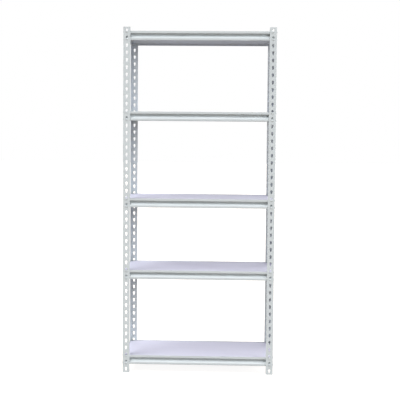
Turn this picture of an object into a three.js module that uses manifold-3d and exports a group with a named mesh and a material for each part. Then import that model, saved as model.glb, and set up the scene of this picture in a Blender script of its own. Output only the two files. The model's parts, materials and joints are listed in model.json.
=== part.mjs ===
// Boltless steel shelving: four keyholed angle posts hold five levels. Each level is two long
// and two short rolled beams, riveted studs and all, with a folded steel deck laid inside them.
// Millimetres, +Z up, X along the width, the front facing -Y. The origin is on the floor, at
// the middle of the four posts.

import * as THREE from "three";
import { mergeVertices } from "three/addons/utils/BufferGeometryUtils.js";
import Module from "manifold-3d";

// Overall sizes, measured over the posts. The height is a whole number of keyhole pitches.
const rackWidth = 800;
const rackDepth = 400;
const keyholePitch = 38.1;
const keyholeCount = 48;
const postLength = keyholeCount * keyholePitch;

// Posts: equal angles, with one column of keyholes down the middle of each flange.
const postFlange = 37;
const postSheet = 1.8;
const keyholeLine = postFlange / 2;

// Rivets: two at each end of every beam, set for good, one in each of two adjacent keyholes.
const rivetShank = 5.8;
const rivetHead = 10;
const rivetCrown = 6.6;
const rivetHeadHeight = 2.6;
const rivetSides = 6;
const rivetsPerEnd = 2;

// Keyholes: wide at the top to let a rivet's head in, narrow at the foot to hold its shank.
// The hook travel is how far a rivet rises from the one to the other.
const shankClearance = 0.45;
const headClearance = 0.75;
const hookTravel = 11;
const keyholeNarrow = rivetShank + 2 * shankClearance;
const keyholeWide = rivetHead + 2 * headClearance;
const keyholeCrown = 5.6;
const keyholeLength = keyholeNarrow / 2 + hookTravel + keyholeWide / 2;

// Beams: rolled from one sheet, with a lip, a deck ledge, a sloping face and a foot. The rivets
// sit in the lip and the foot. The long beams keep the whole section to their ends. The short
// ones are notched there, so that only flat tabs of the lip and the foot pass the long ones.
const beamSheet = 1.2;
const rivetEdge = 5;
const beamHeight = (rivetsPerEnd - 1) * keyholePitch + 2 * rivetEdge;
const lipHeight = 12.5;
const ledgeDepth = 16;
const grooveWall = 6.5;
const footHeight = 11;
const footReturn = 9;
const beamEndMargin = 9;

// Decks: folded trays with cropped corners, each with a hat-section stiffener welded below.
const deckSheet = 0.8;
const deckRecess = 2;
const deckCorner = 28;
const stiffenerHeight = 11;
const stiffenerCrown = 26;
const stiffenerFoot = 12;
const stiffenerSheet = 1;

// Clearances.
const seatGap = 0.3;
const beamToBeam = 0.7;
const deckEdgeGap = 0.7;
const stiffenerToBeam = 3;

// The keyhole, counted up from the floor, that takes the upper rivet of each level.
const levelKeyholes = [2, 14, 24, 36, keyholeCount - 1];

const paintColour = 0xccd0d0;
const deckColour = 0xcfcdde;
const paintRoughness = 0.45;
const deckRoughness = 0.4;

const wasm = await Module();
wasm.setup();

// Booleans: a closed geometry becomes a solid, and a solid becomes a geometry again.

function solidOf(geometry) {
  const bare = geometry.clone();
  bare.deleteAttribute("normal");
  bare.deleteAttribute("uv");
  const merged = mergeVertices(bare, 1e-4);
  const vertProperties = new Float32Array(merged.attributes.position.array);
  const triVerts = new Uint32Array(merged.index.array);
  return new wasm.Manifold(new wasm.Mesh({ numProp: 3, vertProperties, triVerts }));
}

function geometryOf(solid) {
  const mesh = solid.getMesh();
  const geometry = new THREE.BufferGeometry();
  geometry.setAttribute("position", new THREE.BufferAttribute(mesh.vertProperties, 3));
  geometry.setIndex(new THREE.BufferAttribute(mesh.triVerts, 1));
  const faceted = geometry.toNonIndexed();
  faceted.computeVertexNormals();
  return faceted;
}

function joined(geometries) {
  const solids = geometries.map(solidOf);
  return geometryOf(solids.reduce((whole, piece) => whole.add(piece)));
}

// Outlines.

function outlineFrom(points) {
  return new THREE.Shape(points.map(([x, y]) => new THREE.Vector2(x, y)));
}

// The outline of a sheet bent along a path, with its thickness on the left of the path.
function bentSheet(path, thickness) {
  const points = path.map(([x, y]) => new THREE.Vector2(x, y));
  const leftOf = (from, to) => {
    const along = to.clone().sub(from).normalize();
    return new THREE.Vector2(-along.y, along.x);
  };
  const farSide = points.map((point, i) => {
    const before = leftOf(points[Math.max(i - 1, 0)], points[Math.max(i, 1)]);
    const after = leftOf(points[Math.min(i, points.length - 2)], points[Math.min(i + 1, points.length - 1)]);
    const mitre = before.clone().add(after).normalize();
    return point.clone().addScaledVector(mitre, thickness / mitre.dot(before));
  });
  return new THREE.Shape([...points, ...farSide.reverse()]);
}

function extruded(shape, depth) {
  return new THREE.ExtrudeGeometry(shape, { depth, bevelEnabled: false, curveSegments: 1 });
}

// A section drawn with +x inward and +y up becomes a bar along X, centred on X = 0.
function barAlongX(section, length) {
  const turn = new THREE.Matrix4().makeBasis(
    new THREE.Vector3(0, 1, 0),
    new THREE.Vector3(0, 0, 1),
    new THREE.Vector3(1, 0, 0),
  );
  return extruded(section, length).applyMatrix4(turn).translate(-length / 2, 0, 0);
}

// Posts.

function keyholeOutline(middle) {
  const foot = middle - keyholeLength / 2;
  const top = middle + keyholeLength / 2;
  const widest = top - keyholeWide / 2;
  const corners = [
    [-keyholeNarrow / 2, foot],
    [-keyholeWide / 2, widest],
    [-keyholeCrown / 2, top],
    [keyholeCrown / 2, top],
    [keyholeWide / 2, widest],
    [keyholeNarrow / 2, foot],
  ];
  return new THREE.Path(corners.map(([x, z]) => new THREE.Vector2(keyholeLine + x, z)));
}

function keyholeMiddle(keyhole) {
  return (keyhole + 0.5) * keyholePitch;
}

// One flange, standing in the XZ plane with its outer face at Y = 0.
function flangeGeometry() {
  const blank = outlineFrom([[0, 0], [postFlange, 0], [postFlange, postLength], [0, postLength]]);
  for (let keyhole = 0; keyhole < keyholeCount; keyhole += 1) {
    blank.holes.push(keyholeOutline(keyholeMiddle(keyhole)));
  }
  return extruded(blank, postSheet).rotateX(Math.PI / 2).translate(0, postSheet, 0);
}

// A post with its corner at the origin and its flanges along +X and +Y.
function postGeometry() {
  const acrossDiagonal = new THREE.Matrix4().makeBasis(
    new THREE.Vector3(0, 1, 0),
    new THREE.Vector3(-1, 0, 0),
    new THREE.Vector3(0, 0, 1),
  );
  const frontFlange = flangeGeometry();
  const sideFlange = flangeGeometry().translate(0, -postSheet, 0).applyMatrix4(acrossDiagonal);
  return joined([frontFlange, sideFlange]);
}

// Beams.

// The rolled section, down from the top of the lip, which is the origin.
function beamSection() {
  const path = [
    [0, 0],
    [0, -lipHeight],
    [ledgeDepth, -lipHeight],
    [ledgeDepth, -lipHeight - grooveWall],
    [0, footHeight - beamHeight],
    [0, -beamHeight],
    [footReturn, -beamHeight],
  ];
  return bentSheet(path, beamSheet);
}

// A rivet along Y, its shank through the post and its head outside, at negative Y.
function rivetGeometry() {
  const underHead = -(2 * seatGap + postSheet);
  const headTop = underHead - rivetHeadHeight;
  const profile = [
    [0, headTop],
    [rivetCrown / 2, headTop],
    [rivetHead / 2, underHead],
    [rivetShank / 2, underHead],
    [rivetShank / 2, beamSheet / 2],
    [0, beamSheet / 2],
  ];
  return new THREE.LatheGeometry(profile.map(([r, y]) => new THREE.Vector2(r, y)), rivetSides);
}

// Half the length of a beam, and of a short beam's whole section, which stops clear of the long
// beams. The span is the outside size of the rack along the beam.
const beamInset = postSheet + seatGap;
const beamReach = beamInset + ledgeDepth + beamSheet;
const beamEnd = (span) => span / 2 - keyholeLine + beamEndMargin;
const notchedEnd = (span) => span / 2 - beamReach - beamToBeam;

// A beam along X whose outer face is at Y = 0 and whose top is at Z = 0.
function beamGeometry(span, sectionEnd) {
  const tabLength = beamEnd(span) - sectionEnd + beamSheet;
  const tabMiddle = beamEnd(span) - tabLength / 2;
  const lipTab = { height: lipHeight, middle: -lipHeight / 2 };
  const footTab = { height: footHeight, middle: footHeight / 2 - beamHeight };
  const pieces = [barAlongX(beamSection(), 2 * sectionEnd)];
  for (const end of [-1, 1]) {
    for (const tab of [lipTab, footTab]) {
      const plate = new THREE.BoxGeometry(tabLength, beamSheet, tab.height);
      pieces.push(plate.translate(end * tabMiddle, beamSheet / 2, tab.middle));
    }
    for (let rivet = 0; rivet < rivetsPerEnd; rivet += 1) {
      const height = -rivetEdge - rivet * keyholePitch;
      pieces.push(rivetGeometry().translate(end * (span / 2 - keyholeLine), 0, height));
    }
  }
  return joined(pieces);
}

// Decks.

const deckInset = beamInset + beamSheet + deckEdgeGap;
const deckWidth = rackWidth - 2 * deckInset;
const deckDepth = rackDepth - 2 * deckInset;
const deckFold = lipHeight - beamSheet - deckRecess - seatGap;
const stiffenerLength = rackWidth - 2 * (beamReach + stiffenerToBeam);

// A tray with its top at Z = 0: a sheet with cropped corners, folded down on four sides.
function deckGeometry() {
  const x = deckWidth / 2;
  const y = deckDepth / 2;
  const top = outlineFrom([
    [deckCorner - x, -y],
    [x - deckCorner, -y],
    [x, deckCorner - y],
    [x, y - deckCorner],
    [x - deckCorner, y],
    [deckCorner - x, y],
    [-x, y - deckCorner],
    [-x, deckCorner - y],
  ]);
  const pieces = [extruded(top, deckSheet).translate(0, 0, -deckSheet)];
  for (const side of [-1, 1]) {
    const longFold = new THREE.BoxGeometry(deckWidth - 2 * deckCorner, deckSheet, deckFold);
    pieces.push(longFold.translate(0, side * (y - deckSheet / 2), -deckFold / 2));
    const shortFold = new THREE.BoxGeometry(deckSheet, deckDepth - 2 * deckCorner, deckFold);
    pieces.push(shortFold.translate(side * (x - deckSheet / 2), 0, -deckFold / 2));
  }
  return joined(pieces);
}

// A hat section along X that opens upward, its feet flat against the deck at Z = 0.
function stiffenerGeometry() {
  const halfCrown = stiffenerCrown / 2;
  const path = [
    [-halfCrown - stiffenerFoot, -stiffenerSheet],
    [-halfCrown, -stiffenerSheet],
    [-halfCrown, -stiffenerHeight],
    [halfCrown, -stiffenerHeight],
    [halfCrown, -stiffenerSheet],
    [halfCrown + stiffenerFoot, -stiffenerSheet],
  ];
  return barAlongX(bentSheet(path, stiffenerSheet), stiffenerLength);
}

// Assembly.

const rack = new THREE.Group();

function place(name, geometry, material, position, quarterTurns = 0) {
  const mesh = new THREE.Mesh(geometry, material.clone());
  mesh.name = name;
  mesh.position.set(...position);
  mesh.rotation.z = quarterTurns * Math.PI / 2;
  rack.add(mesh);
}

const paint = new THREE.MeshStandardMaterial({
  color: paintColour,
  roughness: paintRoughness,
  metalness: 0.1,
});
const deckPaint = new THREE.MeshStandardMaterial({
  color: deckColour,
  roughness: deckRoughness,
  metalness: 0.1,
});

const cornerX = rackWidth / 2;
const cornerY = rackDepth / 2;
const post = postGeometry();
place("post_front_left", post, paint, [-cornerX, -cornerY, 0], 0);
place("post_front_right", post, paint, [cornerX, -cornerY, 0], 1);
place("post_back_right", post, paint, [cornerX, cornerY, 0], 2);
place("post_back_left", post, paint, [-cornerX, cornerY, 0], 3);

const longBeam = beamGeometry(rackWidth, beamEnd(rackWidth));
const shortBeam = beamGeometry(rackDepth, notchedEnd(rackDepth));
const deck = deckGeometry();
const stiffener = stiffenerGeometry();
const beamX = cornerX - beamInset;
const beamY = cornerY - beamInset;
const rivetAtRest = keyholeNarrow / 2 - keyholeLength / 2;

levelKeyholes.forEach((keyhole, index) => {
  const level = index + 1;
  const beamTop = keyholeMiddle(keyhole) + rivetAtRest + rivetEdge;
  const deckTop = beamTop - deckRecess;
  place(`beam_front_${level}`, longBeam, paint, [0, -beamY, beamTop], 0);
  place(`beam_right_${level}`, shortBeam, paint, [beamX, 0, beamTop], 1);
  place(`beam_back_${level}`, longBeam, paint, [0, beamY, beamTop], 2);
  place(`beam_left_${level}`, shortBeam, paint, [-beamX, 0, beamTop], 3);
  place(`deck_${level}`, deck, deckPaint, [0, 0, deckTop]);
  place(`stiffener_${level}`, stiffener, deckPaint, [0, 0, deckTop - deckSheet - seatGap]);
});

export default rack;
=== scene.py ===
"""Boltless steel shelving: its visible pieces and finishes, and the studio round it.

Everything is in metres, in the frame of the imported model: X along the width, the front facing
-Y, Z up from the floor. Posts, beams and decks take their places from that model's boxes.
"""

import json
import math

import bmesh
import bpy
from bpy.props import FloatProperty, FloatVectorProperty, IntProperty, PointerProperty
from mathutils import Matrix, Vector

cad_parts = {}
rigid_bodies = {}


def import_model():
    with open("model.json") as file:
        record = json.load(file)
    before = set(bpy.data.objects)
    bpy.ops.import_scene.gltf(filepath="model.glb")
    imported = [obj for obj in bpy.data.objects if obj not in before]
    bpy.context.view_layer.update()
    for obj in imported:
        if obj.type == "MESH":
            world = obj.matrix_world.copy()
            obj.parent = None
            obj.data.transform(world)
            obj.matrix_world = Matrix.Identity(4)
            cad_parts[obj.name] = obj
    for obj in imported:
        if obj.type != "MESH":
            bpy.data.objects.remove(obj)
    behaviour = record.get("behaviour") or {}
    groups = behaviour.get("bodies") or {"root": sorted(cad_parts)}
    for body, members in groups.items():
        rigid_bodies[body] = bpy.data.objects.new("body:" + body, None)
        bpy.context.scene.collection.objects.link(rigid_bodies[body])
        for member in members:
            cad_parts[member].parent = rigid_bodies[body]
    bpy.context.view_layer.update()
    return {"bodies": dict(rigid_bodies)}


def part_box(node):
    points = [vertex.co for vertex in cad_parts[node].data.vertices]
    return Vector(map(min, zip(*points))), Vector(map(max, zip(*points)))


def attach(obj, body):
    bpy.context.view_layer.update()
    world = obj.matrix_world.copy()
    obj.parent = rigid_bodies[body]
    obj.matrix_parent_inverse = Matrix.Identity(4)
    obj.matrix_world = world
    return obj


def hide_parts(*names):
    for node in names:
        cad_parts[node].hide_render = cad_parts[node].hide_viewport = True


bl_info = {
    "name": "Boltless Steel Shelving",
    "version": (1, 0, 0),
    "blender": (4, 5, 0),
    "location": "3D View > Sidebar > Rack",
    "description": "Builds a boltless steel rack with its posts, beams, rivets and decks",
    "category": "Add Mesh",
}

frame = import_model()

MM = 0.001
LEVELS = range(1, 1 + sum(name.startswith("deck_tray_") for name in frame["bodies"]))
POST_TURNS = {"front_left": 0, "front_right": 1, "back_right": 2, "back_left": 3}
BEAM_TURNS = {"front": 0, "right": 1, "back": 2, "left": 3}
POST_LOW, POST_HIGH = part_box("post_front_left")
QUARTER_TURN = math.pi / 2
BEND_STEPS = 5
WELD_DISTANCE = 0.004 * MM
COAT_IOR = 1.5
WHITE = (1.0, 1.0, 1.0, 1.0)


# Settings that a user would change.


def length(name, description, default, **limits):
    """A length setting, in metres."""
    return FloatProperty(name=name, description=description, default=default, unit="LENGTH",
                         precision=5, min=0.0, **limits)


def colour(name, description, default):
    return FloatVectorProperty(name=name, description=description, default=default,
                               subtype="COLOR", size=3, min=0.0, max=1.0)


class RackPostSettings(bpy.types.PropertyGroup):
    sheet: length("Sheet", "Thickness of the posts' sheet", 1.8 * MM)
    bend: length("Bend", "Inside radius of the bend between the flanges", 0.6 * MM)
    edge: length("Edge", "Rounding of cut edges under the paint", 0.25 * MM)
    pitch: length("Pitch", "Height from one keyhole to the next", 38.1 * MM)
    keyhole_wide: length("Keyhole top", "Width of a keyhole's round top", 11.5 * MM)
    keyhole_narrow: length("Keyhole foot", "Width of a keyhole's round foot", 6.7 * MM)
    keyhole_travel: length("Keyhole travel", "From the centre of the foot to that of the top", 11 * MM)
    sides: IntProperty(name="Side steps", description="Mesh steps up each side of a keyhole's cell",
                       default=6, min=2)
    ends: IntProperty(name="End steps", description="Mesh steps across each end of a keyhole's cell",
                      default=10, min=2)


class RackBeamSettings(bpy.types.PropertyGroup):
    sheet: length("Sheet", "Thickness of the beams' sheet", 1.2 * MM)
    bend: length("Bend", "Inside radius of the rolled bends", 0.8 * MM)
    edge: length("Edge", "Rounding of cut edges under the paint", 0.25 * MM)
    seat: length("Seat gap", "Gap between a beam and the post that it lies against", 0.3 * MM)
    rivet_edge: length("Rivet edge", "From a rivet's axis to the beam's edge", 5 * MM)
    lip: length("Lip", "Height of the flat lip at the top", 12.5 * MM)
    ledge: length("Ledge", "How far the deck's ledge reaches inward", 16 * MM)
    wall: length("Groove wall", "Height of the wall at the back of the groove", 6.5 * MM)
    foot: length("Foot", "Height of the flat foot", 11 * MM)
    hem: length("Return", "Inward return below the foot", 9 * MM)
    notch: length("Notch gap", "From a short beam's notched end to the long beam", 0.7 * MM)
    tab_corner: length("Tab corner", "Radius of a tab's corners", 2.5 * MM)
    pressed: length("Pressed length", "Length over which a tab's root is pressed flat", 1.5 * MM)


class RackRivetSettings(bpy.types.PropertyGroup):
    shank: length("Shank", "Diameter of a rivet's shank", 5.8 * MM)
    head: length("Head", "Diameter of a rivet's head", 10 * MM)
    crown: length("Crown", "Height of a rivet's domed head", 2.6 * MM)
    tail: length("Tail", "Diameter of the upset tail inside the beam", 7 * MM)
    tail_height: length("Tail height", "Height of the upset tail", 0.9 * MM)
    segments: IntProperty(name="Segments", description="Faces round a rivet", default=20, min=8)


class RackDeckSettings(bpy.types.PropertyGroup):
    sheet: length("Sheet", "Thickness of the decks' sheet", 0.8 * MM)
    bend: length("Bend", "Outside radius of the folded edges", 1.6 * MM)
    corner: length("Corner", "Length cropped off each corner", 28 * MM)
    ripple: length("Ripple", "Height of the gentle waves in the thin sheet", 0.35 * MM)
    bar_sheet: length("Bar sheet", "Thickness of the stiffener's sheet", 1 * MM)
    bar_foot: length("Bar foot", "Width of each of the stiffener's feet", 12 * MM)
    weld: length("Weld", "Diameter of a spot weld's mark", 5 * MM)
    weld_pitch: length("Weld pitch", "Distance from one spot weld to the next", 75 * MM)


class RackFinishSettings(bpy.types.PropertyGroup):
    paint: colour("Paint", "Colour of the powder coat on posts and beams", (0.635, 0.69, 0.72))
    paint_low: colour("Paint, thin", "The powder coat where it lies thinner", (0.605, 0.66, 0.69))
    deck: colour("Deck", "Colour of the coat on the decks", (0.69, 0.69, 0.835))
    deck_low: colour("Deck, thin", "The decks' coat where it lies thinner", (0.665, 0.665, 0.805))


class RackStageSettings(bpy.types.PropertyGroup):
    camera_place: FloatVectorProperty(name="Camera", description="Where the camera stands",
                                      default=(0.2322, -5.7084, 1.3251), subtype="XYZ", unit="LENGTH")
    heading: FloatProperty(name="Heading", description="How far the camera turns left",
                           default=0.04085, subtype="ANGLE")
    dip: FloatProperty(name="Dip", description="How far the camera looks down",
                       default=0.07216, subtype="ANGLE")
    roll: FloatProperty(name="Roll", description="How far the camera rolls anticlockwise",
                        default=0.00794, subtype="ANGLE")
    lens: FloatProperty(name="Lens", description="Focal length in millimetres", default=94.545)
    floor_size: length("Floor", "Width of the floor", 60.0)
    floor_tint: colour("Floor tint", "Colour of the light that the floor throws back",
                       (0.38, 0.335, 0.29))
    floor_glow: FloatProperty(name="Floor glow", description="How much whiter the camera sees the floor",
                              default=0.92)
    sky: FloatProperty(name="Sky", description="Strength of the even white light", default=0.1)
    left: FloatProperty(name="Left", description="Strength of the high softbox on the left", default=2.55)
    right: FloatProperty(name="Right", description="Strength of the low softbox on the right", default=1.9)
    front: FloatProperty(name="Front", description="Strength of the low softbox in front", default=0.7)
    back: FloatProperty(name="Back", description="Strength of the softbox behind", default=1.25)


# Meshes.


def bridge(bm, loops, closed):
    """Quads between successive rows of points. A closed row joins its last point to its first."""
    rows = [[bm.verts.new(point) for point in loop] for loop in loops]
    for near, far in zip(rows, rows[1:]):
        count = len(near)
        for i in range(count if closed else count - 1):
            j = (i + 1) % count
            bm.faces.new((near[i], near[j], far[j], far[i]))
    return rows


def mesh_from(bm, name):
    """A plain mesh with welded seams and faces that point out."""
    bmesh.ops.remove_doubles(bm, verts=bm.verts, dist=WELD_DISTANCE)
    bmesh.ops.recalc_face_normals(bm, faces=bm.faces)
    mesh = bpy.data.meshes.new(name)
    bm.to_mesh(mesh)
    bm.free()
    return mesh


def close_ends(mesh):
    """Faces over the open ends of a mesh."""
    bm = bmesh.new()
    bm.from_mesh(mesh)
    bmesh.ops.remove_doubles(bm, verts=bm.verts, dist=WELD_DISTANCE)
    bmesh.ops.holes_fill(bm, edges=[edge for edge in bm.edges if edge.is_boundary], sides=0)
    bmesh.ops.recalc_face_normals(bm, faces=bm.faces)
    bm.to_mesh(mesh)
    bm.free()


def bake(obj):
    """The object's mesh as its modifiers leave it, with the modifiers gone."""
    graph = bpy.context.evaluated_depsgraph_get()
    made = bpy.data.meshes.new_from_object(obj.evaluated_get(graph))
    obj.modifiers.clear()
    obj.data = made


def link(name, mesh):
    obj = bpy.data.objects.new(name, mesh)
    bpy.context.scene.collection.objects.link(obj)
    return obj


def soften(obj, sharpest=math.radians(32)):
    """Smooth shading over bends, with flat faces kept flat and sharp edges kept sharp."""
    obj.data.shade_smooth()
    obj.data.set_sharp_from_angle(angle=sharpest)
    weigh = obj.modifiers.new("face weight", "WEIGHTED_NORMAL")
    weigh.keep_sharp = True
    bake(obj)


def add_piece(name, mesh, material, body, stands_for=()):
    """A finished piece: shaded, painted, and riding on its body."""
    obj = link(name, mesh)
    soften(obj)
    obj.data.materials.clear()
    obj.data.materials.append(material)
    for polygon in obj.data.polygons:
        polygon.material_index = 0
    if stands_for:
        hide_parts(*stands_for)
    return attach(obj, body)


def turned(mesh, quarter_turns, place, name):
    """A copy of a mesh, turned about Z and moved to its place."""
    copy = mesh.copy()
    copy.name = name
    copy.transform(Matrix.Translation(place) @ Matrix.Rotation(quarter_turns * QUARTER_TURN, 4, "Z"))
    return copy


# Sheet sections.


def left_of(direction):
    return Vector((-direction.y, direction.x))


def bent_sheet(path, thickness, bend, edge, steps):
    """The two sides of a sheet bent along a path, as equal lists of points.

    The sheet lies on the left of the path. Bends have the inside radius given, and the cut
    edges are rounded off by a small chamfer.
    """
    points = [Vector(point) for point in path]
    ways = [(b - a).normalized() for a, b in zip(points, points[1:])]
    near, far = [], []

    def add(middle, reach_near, reach_far, normal):
        near.append(middle + normal * reach_near)
        far.append(middle + normal * reach_far)

    first, last = left_of(ways[0]), left_of(ways[-1])
    add(points[0], edge, thickness - edge, first)
    add(points[0] + ways[0] * edge, 0.0, thickness, first)
    for corner, before, after in zip(points[1:-1], ways, ways[1:]):
        angle = -before.angle_signed(after)
        mitre = (left_of(before) + left_of(after)) / (1.0 + before.dot(after))
        radius = bend + thickness if angle > 0 else -bend
        centre = corner + mitre * radius
        for step in range(steps + 1):
            normal = left_of(before).copy()
            normal.rotate(Matrix.Rotation(angle * step / steps, 2))
            add(centre, -radius, thickness - radius, normal)
    add(points[-1] - ways[-1] * edge, 0.0, thickness, last)
    add(points[-1], edge, thickness - edge, last)
    return near, far


# Node trees. Each repeats a small mesh, makes it real and gives it its material.


def new_tree(name, inputs):
    tree = bpy.data.node_groups.new(name, "GeometryNodeTree")
    tree.interface.new_socket("Geometry", in_out="INPUT", socket_type="NodeSocketGeometry")
    for label, kind in inputs:
        tree.interface.new_socket(label, in_out="INPUT", socket_type=kind)
    tree.interface.new_socket("Geometry", in_out="OUTPUT", socket_type="NodeSocketGeometry")
    return tree, tree.nodes.new("NodeGroupInput"), tree.nodes.new("NodeGroupOutput")


def run_tree(obj, tree, values):
    """The object's mesh as the tree leaves it with these values."""
    modifier = obj.modifiers.new(tree.name, "NODES")
    modifier.node_group = tree
    for item in tree.interface.items_tree:
        if item.in_out == "INPUT" and item.name in values:
            modifier[item.identifier] = values[item.name]
    bake(obj)


def finish_tree(tree, group_out, instances, group_in, weld):
    """Realise the instances, weld them where they meet, and set their material."""
    real = tree.nodes.new("GeometryNodeRealizeInstances")
    tree.links.new(instances, real.inputs["Geometry"])
    result = real.outputs["Geometry"]
    if weld:
        merge = tree.nodes.new("GeometryNodeMergeByDistance")
        merge.inputs["Distance"].default_value = WELD_DISTANCE
        tree.links.new(result, merge.inputs["Geometry"])
        result = merge.outputs["Geometry"]
    paint = tree.nodes.new("GeometryNodeSetMaterial")
    tree.links.new(result, paint.inputs["Geometry"])
    tree.links.new(group_in.outputs["Material"], paint.inputs["Material"])
    tree.links.new(paint.outputs["Geometry"], group_out.inputs["Geometry"])


def column_tree():
    """One keyhole's length of post, repeated up the post."""
    tree, group_in, group_out = new_tree("keyhole column", [
        ("Count", "NodeSocketInt"),
        ("Pitch", "NodeSocketFloat"),
        ("Material", "NodeSocketMaterial"),
    ])
    rise = tree.nodes.new("ShaderNodeCombineXYZ")
    tree.links.new(group_in.outputs["Pitch"], rise.inputs["Z"])
    line = tree.nodes.new("GeometryNodeMeshLine")
    tree.links.new(group_in.outputs["Count"], line.inputs["Count"])
    tree.links.new(rise.outputs["Vector"], line.inputs["Offset"])
    stack = tree.nodes.new("GeometryNodeInstanceOnPoints")
    tree.links.new(line.outputs["Mesh"], stack.inputs["Points"])
    tree.links.new(group_in.outputs["Geometry"], stack.inputs["Instance"])
    finish_tree(tree, group_out, stack.outputs["Instances"], group_in, weld=True)
    return tree


def scatter_tree():
    """A small piece on every point of a mesh, turned about Z by the point's own turn."""
    tree, group_in, group_out = new_tree("pieces on points", [
        ("Piece", "NodeSocketObject"),
        ("Material", "NodeSocketMaterial"),
    ])
    piece = tree.nodes.new("GeometryNodeObjectInfo")
    tree.links.new(group_in.outputs["Piece"], piece.inputs["Object"])
    turn = tree.nodes.new("GeometryNodeInputNamedAttribute")
    turn.data_type = "FLOAT"
    turn.inputs["Name"].default_value = "turn"
    spin = tree.nodes.new("ShaderNodeCombineXYZ")
    tree.links.new(turn.outputs["Attribute"], spin.inputs["Z"])
    euler = tree.nodes.new("FunctionNodeEulerToRotation")
    tree.links.new(spin.outputs["Vector"], euler.inputs["Euler"])
    spread = tree.nodes.new("GeometryNodeInstanceOnPoints")
    tree.links.new(group_in.outputs["Geometry"], spread.inputs["Points"])
    tree.links.new(piece.outputs["Geometry"], spread.inputs["Instance"])
    tree.links.new(euler.outputs["Rotation"], spread.inputs["Rotation"])
    finish_tree(tree, group_out, spread.outputs["Instances"], group_in, weld=False)
    return tree


def scatter(name, tree, template, spots, material):
    """One plain mesh with the template at every spot, each a point and a quarter turn."""
    mesh = bpy.data.meshes.new(name)
    mesh.from_pydata([place for place, _ in spots], [], [])
    turns = mesh.attributes.new("turn", "FLOAT", "POINT")
    turns.data.foreach_set("value", [quarter * QUARTER_TURN for _, quarter in spots])
    obj = link(name, mesh)
    run_tree(obj, tree, {"Piece": template, "Material": material})
    made = obj.data
    bpy.data.objects.remove(obj)
    return made


# Finishes.


def shader(name):
    material = bpy.data.materials.new(name)
    material.use_nodes = True
    nodes = material.node_tree.nodes
    return material, nodes, material.node_tree.links, nodes["Principled BSDF"]


def add_noise(nodes, links, place, scale, detail, stretch=(1.0, 1.0, 1.0)):
    """Noise over the object's own coordinates, stretched along its axes."""
    mapping = nodes.new("ShaderNodeMapping")
    mapping.inputs["Scale"].default_value = stretch
    links.new(place.outputs["Object"], mapping.inputs["Vector"])
    noise = nodes.new("ShaderNodeTexNoise")
    noise.inputs["Scale"].default_value = scale
    noise.inputs["Detail"].default_value = detail
    links.new(mapping.outputs["Vector"], noise.inputs["Vector"])
    return noise.outputs["Fac"]


def blend_colours(nodes, links, factor, low, high, target):
    mix = nodes.new("ShaderNodeMix")
    mix.data_type = "RGBA"
    mix.inputs["A"].default_value = (*low, 1.0)
    mix.inputs["B"].default_value = (*high, 1.0)
    links.new(factor, mix.inputs["Factor"])
    links.new(mix.outputs["Result"], target)


def spread_values(nodes, links, factor, low, high, target):
    """Noise, which keeps mostly to its middle, mapped to a range of values."""
    noise_low, noise_high = 0.3, 0.7
    ranged = nodes.new("ShaderNodeMapRange")
    ranged.inputs["From Min"].default_value = noise_low
    ranged.inputs["From Max"].default_value = noise_high
    ranged.inputs["To Min"].default_value = low
    ranged.inputs["To Max"].default_value = high
    links.new(factor, ranged.inputs["Value"])
    links.new(ranged.outputs["Result"], target)


def add_bump(nodes, links, height, distance, strength, below=None, target=None):
    """A relief, over another one if that is given."""
    bump = nodes.new("ShaderNodeBump")
    bump.inputs["Distance"].default_value = distance
    bump.inputs["Strength"].default_value = strength
    links.new(height, bump.inputs["Height"])
    if below:
        links.new(below, bump.inputs["Normal"])
    if target:
        links.new(bump.outputs["Normal"], target)
    return bump.outputs["Normal"]


def powder_coat(name, low, high):
    """Satin powder coat: fine orange peel over a slightly uneven film."""
    material, nodes, links, surface = shader(name)
    place = nodes.new("ShaderNodeTexCoord")
    film = add_noise(nodes, links, place, scale=9.0, detail=3.0)
    peel = add_noise(nodes, links, place, scale=620.0, detail=2.0)
    grain = add_noise(nodes, links, place, scale=2600.0, detail=1.0)
    blend_colours(nodes, links, film, low, high, surface.inputs["Base Color"])
    spread_values(nodes, links, film, low=0.36, high=0.46, target=surface.inputs["Roughness"])
    grain_bump = add_bump(nodes, links, grain, distance=0.02 * MM, strength=0.25)
    add_bump(nodes, links, peel, distance=0.05 * MM, strength=0.35, below=grain_bump,
             target=surface.inputs["Normal"])
    surface.inputs["IOR"].default_value = COAT_IOR
    return material


def deck_coat(name, low, high):
    """Smooth coat on rolled sheet, with faint streaks along the rolling direction."""
    material, nodes, links, surface = shader(name)
    place = nodes.new("ShaderNodeTexCoord")
    film = add_noise(nodes, links, place, scale=3.2, detail=3.0)
    streaks = add_noise(nodes, links, place, scale=40.0, detail=3.0, stretch=(0.06, 1.0, 1.0))
    peel = add_noise(nodes, links, place, scale=480.0, detail=1.0)
    blend_colours(nodes, links, film, low, high, surface.inputs["Base Color"])
    spread_values(nodes, links, streaks, low=0.30, high=0.42, target=surface.inputs["Roughness"])
    streak_bump = add_bump(nodes, links, streaks, distance=0.04 * MM, strength=0.3)
    add_bump(nodes, links, peel, distance=0.03 * MM, strength=0.2, below=streak_bump,
             target=surface.inputs["Normal"])
    surface.inputs["IOR"].default_value = COAT_IOR
    return material


def finish_named(name, maker, low, high):
    """The finish of that name, made the first time that a piece asks for it."""
    return bpy.data.materials.get(name) or maker(name, low, high)


def post_paint(settings):
    return finish_named("post powder coat", powder_coat, settings.paint_low, settings.paint)


def beam_paint(settings):
    return finish_named("beam powder coat", powder_coat, settings.paint_low, settings.paint)


def deck_paint(settings):
    return finish_named("deck coat", deck_coat, settings.deck_low, settings.deck)


# Posts.


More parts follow.
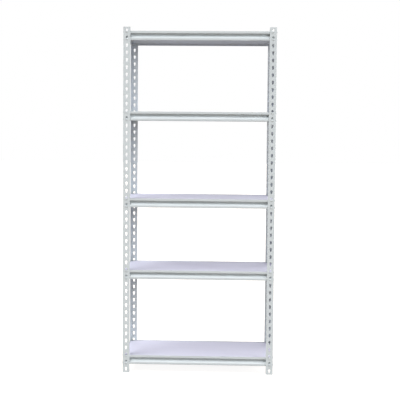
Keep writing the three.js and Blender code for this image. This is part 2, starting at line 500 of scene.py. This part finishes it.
def keyhole_reach(settings, way, grow):
    """From a keyhole's middle to its outline along a direction, the outline grown outward."""
    top_radius = settings.keyhole_wide / 2 + grow
    foot_radius = settings.keyhole_narrow / 2 + grow
    half = (settings.keyhole_wide / 2 + settings.keyhole_travel + settings.keyhole_narrow / 2) / 2
    top = Vector((0.0, half - settings.keyhole_wide / 2))
    foot = Vector((0.0, settings.keyhole_narrow / 2 - half))
    lean = math.asin((top_radius - foot_radius) / settings.keyhole_travel)
    side = Vector((math.copysign(math.cos(lean), way.x), -math.sin(lean)))
    facing = side.dot(way)
    if facing > 1e-9:
        reach = (side.dot(top) + top_radius) / facing
        height = way.y * reach
        if foot.y - foot_radius * math.sin(lean) <= height <= top.y - top_radius * math.sin(lean):
            return reach
    centre, radius = (top, top_radius) if way.y > 0 else (foot, foot_radius)
    along = way.dot(centre)
    return along + math.sqrt(max(0.0, along ** 2 - centre.length_squared + radius ** 2))


def cell_border(settings, left, right, line):
    """Directions and border points round a keyhole's cell, anticlockwise from lower right."""
    half = settings.pitch / 2
    upper_right = math.atan2(half, right - line)
    upper_left = math.atan2(half, left - line)
    stretches = [
        (-upper_right, upper_right, settings.sides),
        (upper_right, upper_left, settings.ends),
        (upper_left, 2 * math.pi - upper_left, settings.sides),
        (2 * math.pi - upper_left, 2 * math.pi - upper_right, settings.ends),
    ]
    spots = []
    for start, stop, steps in stretches:
        for step in range(steps):
            angle = start + (stop - start) * step / steps
            way = Vector((math.cos(angle), math.sin(angle)))
            side = (right - line if way.x > 0 else left - line) / way.x if abs(way.x) > 1e-9 else 1e9
            end = half / abs(way.y) if abs(way.y) > 1e-9 else 1e9
            spots.append((way, way * min(side, end)))
    return spots


def post_cell(settings, flange):
    """One pitch of an angle post: both flanges with their keyholes, the bend and the edges.

    The corner is at the origin and the flanges lie along +X and +Y.
    """
    sheet, edge = settings.sheet, settings.edge
    outer = settings.bend + sheet
    line = flange / 2
    middle = settings.pitch / 2
    left, right = outer, flange - edge
    spots = cell_border(settings, left, right, line)

    def ring(reach, depth):
        points = [way * reach(way, border) for way, border in spots]
        return [Vector((line + p.x, depth, middle + p.y)) for p in points]

    def to_border(way, border):
        return border.length

    def to_face_rim(way, border):
        return keyhole_reach(settings, way, edge)

    def to_wall(way, border):
        return keyhole_reach(settings, way, 0.0)

    rings = [
        ring(to_border, 0.0),
        ring(to_face_rim, 0.0),
        ring(to_wall, edge),
        ring(to_wall, sheet - edge),
        ring(to_face_rim, sheet),
        ring(to_border, sheet),
    ]
    free_side = rings[0][: settings.sides + 1]
    bend_side = rings[0][settings.sides + settings.ends: 2 * settings.sides + settings.ends + 1]

    def upright(side, x, y):
        return [Vector((x, y, point.z)) for point in side]

    free_edge = [
        upright(free_side, right, 0.0),
        upright(free_side, flange, edge),
        upright(free_side, flange, sheet - edge),
        upright(free_side, right, sheet),
    ]
    bm = bmesh.new()
    for mirrored in (False, True):
        def laid(loop, swap=mirrored):
            return [Vector((p.y, p.x, p.z)) for p in loop] if swap else loop
        bridge(bm, [laid(loop) for loop in rings], closed=True)
        bridge(bm, [laid(loop) for loop in free_edge], closed=False)
    for radius in (outer, settings.bend):
        arc = []
        for step in range(BEND_STEPS + 1):
            angle = QUARTER_TURN * step / BEND_STEPS
            x = outer - radius * math.sin(angle)
            y = outer - radius * math.cos(angle)
            arc.append(upright(bend_side, x, y))
        bridge(bm, arc, closed=False)
    return mesh_from(bm, "post cell")


class RACK_OT_posts(bpy.types.Operator):
    """Makes the four keyholed angle posts"""

    bl_idname = "rack.make_posts"
    bl_label = "Posts"

    def execute(self, context):
        settings = context.scene.rack_posts
        material = post_paint(context.scene.rack_finish)
        height = POST_HIGH.z - POST_LOW.z
        column = link("post column", post_cell(settings, POST_HIGH.x - POST_LOW.x))
        run_tree(column, column_tree(), {
            "Count": round(height / settings.pitch),
            "Pitch": settings.pitch,
            "Material": material,
        })
        close_ends(column.data)
        for corner, quarter_turns in POST_TURNS.items():
            node = f"post_{corner}"
            low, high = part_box(node)
            place = Vector((
                low.x if "left" in corner else high.x,
                low.y if "front" in corner else high.y,
                low.z,
            ))
            mesh = turned(column.data, quarter_turns, place, node)
            add_piece(f"{node}_angle", mesh, material, "posts", [node])
        bpy.data.objects.remove(column)
        return {"FINISHED"}


# Beams.


def beam_height(settings):
    pitch = bpy.context.scene.rack_posts.pitch
    return pitch + 2 * settings.rivet_edge


def beam_top(settings, level):
    """The height of a level's lips. The rivets' heads reach equally far past both edges."""
    low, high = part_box(f"beam_front_{level}")
    return (low.z + high.z) / 2 + beam_height(settings) / 2


def beam_section(settings):
    """The two sides of the rolled section, down from the lip, as equal lists of points."""
    height = beam_height(settings)
    path = [
        (0.0, 0.0),
        (0.0, -settings.lip),
        (settings.ledge, -settings.lip),
        (settings.ledge, -settings.lip - settings.wall),
        (0.0, settings.foot - height),
        (0.0, -height),
        (settings.hem, -height),
    ]
    return bent_sheet(path, settings.sheet, settings.bend, settings.edge, BEND_STEPS)


def tab_section(settings, count, top, bottom):
    """The two sides of a flat tab with softened edges, as lists of that many points."""
    near, far = [], []
    for i in range(count):
        at_edge = i in (0, count - 1)
        share = min(max(i - 1, 0), count - 3) / (count - 3)
        drop = top - settings.edge + (bottom - top + 2 * settings.edge) * share
        if at_edge:
            drop = bottom if i else top
        inset = settings.edge if at_edge else 0.0
        near.append(Vector((inset, drop)))
        far.append(Vector((settings.sheet - inset, drop)))
    return near, far


def add_tab(bm, settings, side, start, end, root, top, bottom):
    """A tab that runs on from part of the section, with rounded corners at its end."""
    near, far = tab_section(settings, len(root[0]), top, bottom)
    stations = [(start, *root, 0.0), (start + settings.pressed, near, far, 0.0)]
    corner_steps = 4
    for step in range(corner_steps + 1):
        angle = QUARTER_TURN * step / corner_steps
        x = end - settings.tab_corner * (1 - math.sin(angle))
        stations.append((x, near, far, settings.tab_corner * (1 - math.cos(angle))))
    middle = (top + bottom) / 2
    loops = []
    for x, near_side, far_side, inset in stations:
        share = 1 - 2 * inset / (top - bottom)
        outline = near_side + far_side[::-1]
        loops.append([Vector((side * x, p.x, middle + (p.y - middle) * share)) for p in outline])
    rows = bridge(bm, loops, closed=True)
    bm.faces.new(rows[-1])


def beam_mesh(settings, beam_end, section_end, name):
    """A beam along X, its outer face at Y = 0 and its top at Z = 0.

    Where the section ends short of the beam, only the lip and the foot run on, as flat tabs.
    """
    height = beam_height(settings)
    near, far = beam_section(settings)
    count = len(near)
    bend_points = BEND_STEPS + 1
    cut_edge = 2
    bends_above_foot = 3
    tabs = []
    if section_end < beam_end:
        tabs = [
            (0, cut_edge + bend_points - 1, 0.0, -settings.lip),
            (cut_edge + bends_above_foot * bend_points, count - cut_edge - 1,
             settings.foot - height, -height),
        ]
    bm = bmesh.new()
    outline = near + far[::-1]
    loops = [[Vector((x, p.x, p.y)) for p in outline] for x in (-section_end, section_end)]
    rows = bridge(bm, loops, closed=True)
    for side, row in zip((-1, 1), rows):
        down_near, down_far = row[:count], row[:count - 1:-1]
        for i in range(count - 1):
            if not any(first <= i < last for first, last, _, _ in tabs):
                bm.faces.new((down_near[i], down_near[i + 1], down_far[i + 1], down_far[i]))
        for first, last, top, bottom in tabs:
            root = (near[first:last + 1], far[first:last + 1])
            add_tab(bm, settings, side, section_end, beam_end, root, top, bottom)
    return mesh_from(bm, name)


class RACK_OT_beams(bpy.types.Operator):
    """Makes the four rolled beams of every level"""

    bl_idname = "rack.make_beams"
    bl_label = "Beams"

    def execute(self, context):
        settings = context.scene.rack_beams
        material = beam_paint(context.scene.rack_finish)
        inset = context.scene.rack_posts.sheet + settings.seat
        long_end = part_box("beam_front_1")[1].x
        short_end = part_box("beam_left_1")[1].y
        clear_of_long = -POST_LOW.y - inset - settings.ledge - settings.sheet - settings.notch
        long_beam = beam_mesh(settings, long_end, long_end, "long beam")
        short_beam = beam_mesh(settings, short_end, clear_of_long, "short beam")
        for level in LEVELS:
            top = beam_top(settings, level)
            for side, quarter_turns in BEAM_TURNS.items():
                outward = Vector((0.0, -1.0, 0.0))
                outward.rotate(Matrix.Rotation(quarter_turns * QUARTER_TURN, 3, "Z"))
                along_width = side in ("front", "back")
                reach = (-POST_LOW.y if along_width else -POST_LOW.x) - inset
                place = outward * reach + Vector((0.0, 0.0, top))
                node = f"beam_{side}_{level}"
                mesh = turned(long_beam if along_width else short_beam, quarter_turns, place, node)
                add_piece(f"{node}_rolled", mesh, material, f"beam_frame_{level}", [node])
        return {"FINISHED"}


# Rivets.


def rivet_mesh(settings, grip, plate):
    """A rivet along Y: the domed head outside at negative Y, the upset tail inside."""
    head, shank, tail = settings.head / 2, settings.shank / 2, settings.tail / 2
    brim = 0.35 * MM
    blunting = 0.1 * MM
    tail_taper = 0.8
    dome_steps = 6
    profile = []
    for step in range(dome_steps + 1):
        angle = QUARTER_TURN * step / dome_steps
        profile.append((head * math.sin(angle), -grip - brim - (settings.crown - brim) * math.cos(angle)))
    tail_end = plate + settings.tail_height
    profile += [(head, -grip - blunting), (head - blunting, -grip), (shank, -grip), (shank, plate)]
    profile += [(tail - 2 * blunting, plate), (tail, plate + 2 * blunting)]
    profile += [(tail * tail_taper, tail_end), (0.0, tail_end)]
    bm = bmesh.new()
    loops = []
    for radius, y in profile:
        loop = []
        for segment in range(settings.segments):
            angle = 2 * math.pi * segment / settings.segments
            loop.append(Vector((radius * math.cos(angle), y, radius * math.sin(angle))))
        loops.append(loop)
    bridge(bm, loops, closed=True)
    bmesh.ops.dissolve_degenerate(bm, edges=bm.edges, dist=WELD_DISTANCE / 4)
    return mesh_from(bm, "rivet")


def rivet_spots(beams, posts, level):
    """Every rivet of a level: the point where its axis meets the beam's face, and its turn."""
    half_width, half_depth = -POST_LOW.x, -POST_LOW.y
    line = (POST_HIGH.x - POST_LOW.x) / 2
    inset = posts.sheet + beams.seat
    upper = beam_top(beams, level) - beams.rivet_edge
    spots = []
    for side, quarter_turns in BEAM_TURNS.items():
        along_width = side in ("front", "back")
        reach, run = (half_depth, half_width) if along_width else (half_width, half_depth)
        for end in (-1, 1):
            for drop in (0.0, posts.pitch):
                place = Vector((end * (run - line), inset - reach, upper - drop))
                place.rotate(Matrix.Rotation(quarter_turns * QUARTER_TURN, 3, "Z"))
                spots.append((place, quarter_turns))
    return spots


class RACK_OT_rivets(bpy.types.Operator):
    """Sets two rivets in each end of every beam"""

    bl_idname = "rack.make_rivets"
    bl_label = "Rivets"

    def execute(self, context):
        scene = context.scene
        beams, posts = scene.rack_beams, scene.rack_posts
        material = beam_paint(scene.rack_finish)
        grip = posts.sheet + 2 * beams.seat
        template = link("rivet", rivet_mesh(scene.rack_rivets, grip, beams.sheet))
        tree = scatter_tree()
        for level in LEVELS:
            name = f"rivets_{level}"
            mesh = scatter(name, tree, template, rivet_spots(beams, posts, level), material)
            add_piece(name, mesh, material, f"beam_frame_{level}")
        bpy.data.objects.remove(template)
        return {"FINISHED"}


# Decks.


def folded_profile(half, radius, fold, inner_steps):
    """Across a deck: up one fold, over its bend, along the flat and down the other side."""
    rise = [(half, -fold), (half, -radius)]
    for step in range(1, BEND_STEPS + 1):
        angle = QUARTER_TURN * step / BEND_STEPS
        rise.append((half - radius + radius * math.cos(angle), radius * math.sin(angle) - radius))
    flat_half = half - radius
    flat = [(flat_half - 2 * flat_half * i / inner_steps, 0.0) for i in range(1, inner_steps)]
    return rise + flat + [(-x, z) for x, z in rise[::-1]]


def deck_mesh(settings, low, high, level):
    """A folded tray with cropped corners and a faintly rippled top."""
    middle = (low + high) / 2
    half_x, half_y = (high.x - low.x) / 2, (high.y - low.y) / 2
    fold = high.z - low.z
    across = folded_profile(half_x, settings.bend, fold, inner_steps=32)
    deep = folded_profile(half_y, settings.bend, fold, inner_steps=16)

    def ripple(x, y):
        calm = (1 - (x / half_x) ** 2) * (1 - (y / half_y) ** 2)
        along, deep_in = 9.5 * x + 1.3 * level, 13.0 * y + 0.9 * level
        sag_share = 0.6 + 0.4 * math.sin(along) * math.cos(deep_in)
        return -settings.ripple * calm * sag_share

    loops = []
    for y, drop_y in deep:
        row = []
        for x, drop_x in across:
            sag = ripple(x, y) if drop_x == 0.0 and drop_y == 0.0 else 0.0
            row.append(Vector((middle.x + x, middle.y + y, high.z + drop_x + drop_y + sag)))
        loops.append(row)
    bm = bmesh.new()
    bridge(bm, loops, closed=False)
    for sign_x in (-1, 1):
        for sign_y in (-1, 1):
            crop_x = middle.x + sign_x * (half_x - settings.corner)
            point = Vector((crop_x, middle.y + sign_y * half_y, 0.0))
            away = Vector((sign_x, sign_y, 0.0)).normalized()
            geometry = bm.verts[:] + bm.edges[:] + bm.faces[:]
            bmesh.ops.bisect_plane(bm, geom=geometry, plane_co=point, plane_no=away, clear_outer=True)
    bmesh.ops.recalc_face_normals(bm, faces=bm.faces)
    if max(bm.faces, key=lambda face: face.calc_area()).normal.z < 0:
        bmesh.ops.reverse_faces(bm, faces=bm.faces)
    mesh = bpy.data.meshes.new("deck")
    bm.to_mesh(mesh)
    bm.free()
    return mesh


class RACK_OT_decks(bpy.types.Operator):
    """Folds a steel deck for every level"""

    bl_idname = "rack.make_decks"
    bl_label = "Decks"

    def execute(self, context):
        settings = context.scene.rack_decks
        material = deck_paint(context.scene.rack_finish)
        for level in LEVELS:
            node = f"deck_{level}"
            low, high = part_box(node)
            shell = link("deck shell", deck_mesh(settings, low, high, level))
            wall = shell.modifiers.new("sheet", "SOLIDIFY")
            wall.thickness = settings.sheet
            wall.offset = -1.0
            wall.use_even_offset = True
            bake(shell)
            mesh = shell.data
            bpy.data.objects.remove(shell)
            add_piece(f"{node}_tray", mesh, material, f"deck_tray_{level}", [node])
        return {"FINISHED"}


def bar_mesh(settings, beams, low, high):
    """A hat-section bar along X, its feet at the top and its crown below."""
    sheet = settings.bar_sheet
    half = (high.y - low.y) / 2
    crown = half - settings.bar_foot
    middle = (low.y + high.y) / 2
    path = [
        (-half, high.z - sheet),
        (-crown, high.z - sheet),
        (-crown, low.z),
        (crown, low.z),
        (crown, high.z - sheet),
        (half, high.z - sheet),
    ]
    near, far = bent_sheet(path, sheet, beams.bend, beams.edge, BEND_STEPS)
    section = near + far[::-1]
    bm = bmesh.new()
    loops = [[Vector((x, middle + p.x, p.y)) for p in section] for x in (low.x, high.x)]
    rows = bridge(bm, loops, closed=True)
    bm.faces.new(rows[0])
    bm.faces.new(rows[-1])
    return mesh_from(bm, "stiffener")


def weld_mesh(settings, segments=14):
    """The shallow mark of one spot weld, on the underside of a foot."""
    radius = settings.weld / 2
    # Each ring's share of the radius, and its height in millimetres.
    dimple = [(0.0, -0.12), (0.45, -0.12)]
    rim = [(0.62, -0.3), (0.85, -0.3), (1.0, 0.0)]
    sunk_back = [(0.9, 0.2), (0.0, 0.2)]
    bm = bmesh.new()
    loops = []
    for share, height in dimple + rim + sunk_back:
        loop = []
        for segment in range(segments):
            angle = 2 * math.pi * segment / segments
            x, y = radius * share * math.cos(angle), radius * share * math.sin(angle)
            loop.append(Vector((x, y, height * MM)))
        loops.append(loop)
    bridge(bm, loops, closed=True)
    return mesh_from(bm, "spot weld")


class RACK_OT_stiffeners(bpy.types.Operator):
    """Adds the stiffener below every deck, with its rows of spot welds"""

    bl_idname = "rack.make_stiffeners"
    bl_label = "Stiffeners"

    def execute(self, context):
        scene = context.scene
        settings = scene.rack_decks
        material = deck_paint(scene.rack_finish)
        template = link("spot weld", weld_mesh(settings))
        tree = scatter_tree()
        for level in LEVELS:
            node = f"stiffener_{level}"
            low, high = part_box(node)
            mesh = bar_mesh(settings, scene.rack_beams, low, high)
            add_piece(f"{node}_bar", mesh, material, f"deck_tray_{level}", [node])
            end_margin = settings.weld_pitch / 3
            reach = high.x - end_margin
            count = int(2 * reach / settings.weld_pitch)
            spots = []
            for row in (low.y + settings.bar_foot / 2, high.y - settings.bar_foot / 2):
                for i in range(count + 1):
                    x = -reach + 2 * reach * i / count
                    spots.append((Vector((x, row, high.z - settings.bar_sheet)), 0))
            name = f"spot_welds_{level}"
            welds = scatter(name, tree, template, spots, material)
            add_piece(name, welds, material, f"deck_tray_{level}")
        bpy.data.objects.remove(template)
        return {"FINISHED"}


# The studio.


def add_floor(settings):
    """A floor that looks white from the camera, yet throws little light back up."""
    bm = bmesh.new()
    bmesh.ops.create_grid(bm, x_segments=1, y_segments=1, size=settings.floor_size / 2)
    floor = link("floor", mesh_from(bm, "floor"))
    material, nodes, links, surface = shader("floor white")
    surface.inputs["Base Color"].default_value = (*settings.floor_tint, 1.0)
    surface.inputs["Roughness"].default_value = 0.9
    surface.inputs["Specular IOR Level"].default_value = 0.0
    surface.inputs["Emission Color"].default_value = WHITE
    path = nodes.new("ShaderNodeLightPath")
    glow = nodes.new("ShaderNodeMath")
    glow.operation = "MULTIPLY"
    glow.inputs[1].default_value = settings.floor_glow
    links.new(path.outputs["Is Camera Ray"], glow.inputs[0])
    links.new(glow.outputs["Value"], surface.inputs["Emission Strength"])
    floor.data.materials.append(material)


def add_sky(settings):
    """A faint even light, and a plain white backdrop beyond the floor's edge."""
    world = bpy.data.worlds.new("studio")
    world.use_nodes = True
    nodes, links = world.node_tree.nodes, world.node_tree.links
    nodes["Background"].inputs["Color"].default_value = WHITE
    nodes["Background"].inputs["Strength"].default_value = settings.sky
    backdrop = nodes.new("ShaderNodeBackground")
    backdrop.inputs["Color"].default_value = WHITE
    path = nodes.new("ShaderNodeLightPath")
    mix = nodes.new("ShaderNodeMixShader")
    links.new(path.outputs["Is Camera Ray"], mix.inputs["Fac"])
    links.new(nodes["Background"].outputs["Background"], mix.inputs[1])
    links.new(backdrop.outputs["Background"], mix.inputs[2])
    links.new(mix.outputs["Shader"], nodes["World Output"].inputs["Surface"])
    bpy.context.scene.world = world


def add_softbox(name, strength, azimuth, elevation, spread):
    """A broad soft light from afar. Azimuth 0 shines from the front and 90 from the right."""
    light = bpy.data.lights.new(name, "SUN")
    light.energy = strength
    light.angle = math.radians(spread)
    lamp = bpy.data.objects.new(name, light)
    turn, rise = math.radians(azimuth), math.radians(elevation)
    source = Vector((math.sin(turn) * math.cos(rise), -math.cos(turn) * math.cos(rise), math.sin(rise)))
    lamp.rotation_euler = source.to_track_quat("Z", "Y").to_euler()
    bpy.context.scene.collection.objects.link(lamp)


def add_camera(settings):
    data = bpy.data.cameras.new("camera")
    data.lens = settings.lens
    data.sensor_width = 36.0
    camera = bpy.data.objects.new("camera", data)
    turn = Matrix.Rotation(settings.heading, 4, "Z")
    tilt = Matrix.Rotation(math.pi / 2 - settings.dip, 4, "X")
    roll = Matrix.Rotation(settings.roll, 4, "Z")
    camera.matrix_world = Matrix.Translation(settings.camera_place) @ turn @ tilt @ roll
    bpy.context.scene.collection.objects.link(camera)
    bpy.context.scene.camera = camera


class RACK_OT_stage(bpy.types.Operator):
    """Sets up the floor, the soft lights and the camera"""

    bl_idname = "rack.make_stage"
    bl_label = "Studio"

    def execute(self, context):
        settings = context.scene.rack_stage
        context.scene.view_settings.view_transform = "Standard"
        add_floor(settings)
        add_sky(settings)
        add_softbox("left softbox", settings.left, azimuth=-50, elevation=50, spread=40)
        add_softbox("right softbox", settings.right, azimuth=70, elevation=25, spread=30)
        add_softbox("front softbox", settings.front, azimuth=30, elevation=12, spread=24)
        add_softbox("back softbox", settings.back, azimuth=180, elevation=52, spread=60)
        add_camera(settings)
        return {"FINISHED"}


class RACK_PT_sidebar(bpy.types.Panel):
    """Lists the rack's pieces"""

    bl_idname = "RACK_PT_sidebar"
    bl_label = "Boltless rack"
    bl_space_type = "VIEW_3D"
    bl_region_type = "UI"
    bl_category = "Rack"

    def draw(self, context):
        for operator in OPERATORS:
            self.layout.operator(operator.bl_idname)


SETTINGS = {
    "rack_posts": RackPostSettings,
    "rack_beams": RackBeamSettings,
    "rack_rivets": RackRivetSettings,
    "rack_decks": RackDeckSettings,
    "rack_finish": RackFinishSettings,
    "rack_stage": RackStageSettings,
}
OPERATORS = [
    RACK_OT_stage,
    RACK_OT_posts,
    RACK_OT_beams,
    RACK_OT_rivets,
    RACK_OT_decks,
    RACK_OT_stiffeners,
]


def register():
    for name, group in SETTINGS.items():
        bpy.utils.register_class(group)
        setattr(bpy.types.Scene, name, PointerProperty(type=group))
    for operator in OPERATORS:
        bpy.utils.register_class(operator)
    bpy.utils.register_class(RACK_PT_sidebar)


def unregister():
    bpy.utils.unregister_class(RACK_PT_sidebar)
    for operator in reversed(OPERATORS):
        bpy.utils.unregister_class(operator)
    for name, group in SETTINGS.items():
        delattr(bpy.types.Scene, name)
        bpy.utils.unregister_class(group)


def main():
    register()
    bpy.ops.rack.make_stage()
    bpy.ops.rack.make_posts()
    bpy.ops.rack.make_beams()
    bpy.ops.rack.make_rivets()
    bpy.ops.rack.make_decks()
    bpy.ops.rack.make_stiffeners()


if __name__ == "__main__":
    main()
